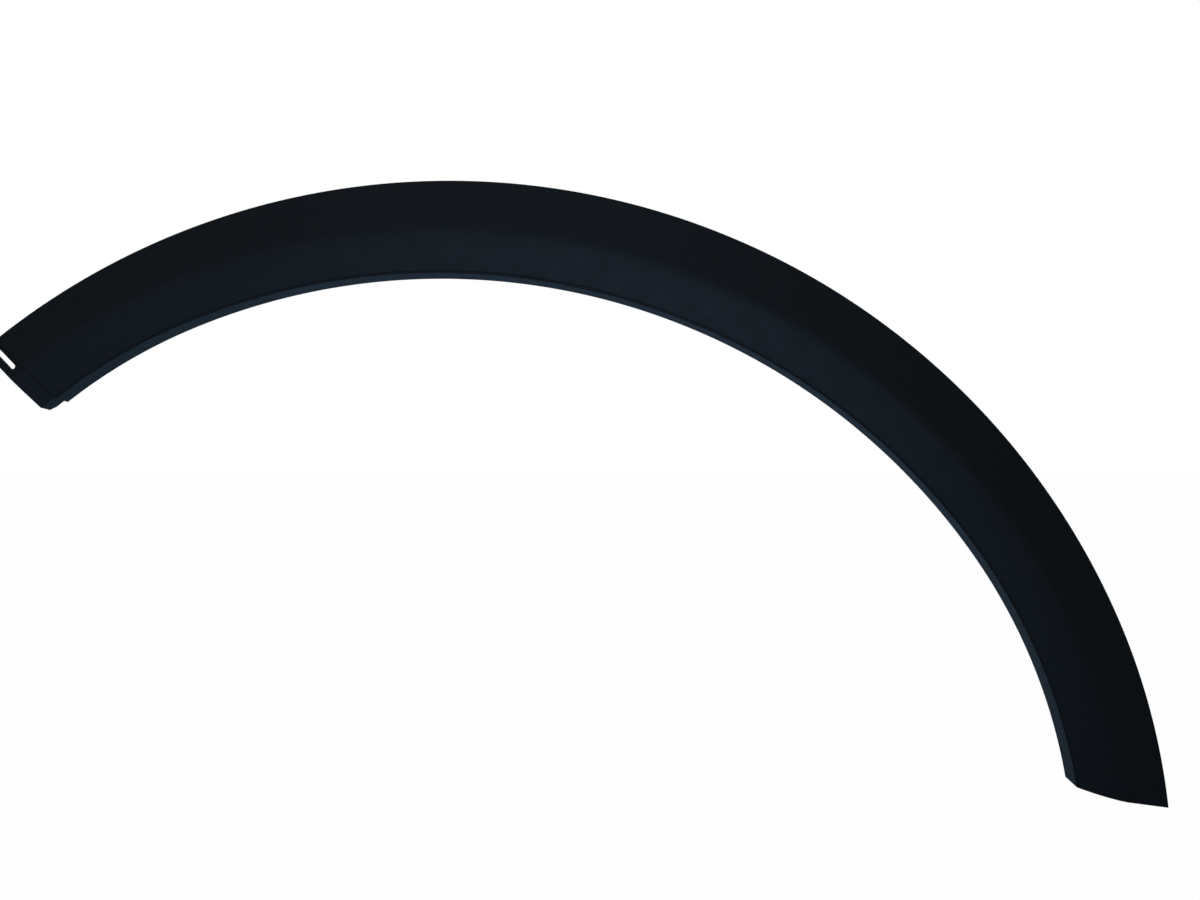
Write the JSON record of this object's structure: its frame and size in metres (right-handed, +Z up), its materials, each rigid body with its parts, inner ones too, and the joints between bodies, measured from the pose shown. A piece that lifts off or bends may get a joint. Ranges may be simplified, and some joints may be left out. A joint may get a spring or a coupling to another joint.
{
  "type": "wheel arch trim",
  "caption": "Black grained plastic trim strip that follows a car's wheel opening, creased along its middle, with a stepped lap tongue at one end.",
  "frame": {"origin": "on the axis of the crown locating pin, where it meets the fender skin", "axes": "+X along the car towards the long right leg, +Y inboard into the fender, +Z up"},
  "size_m": [0.7127, 0.0309, 0.377],
  "materials": {
    "grained_plastic": "fine moulded grain, matte"
  },
  "bodies": {
    "root": {"wheel_arch_trim": "grained_plastic"}
  },
  "joints": []
}
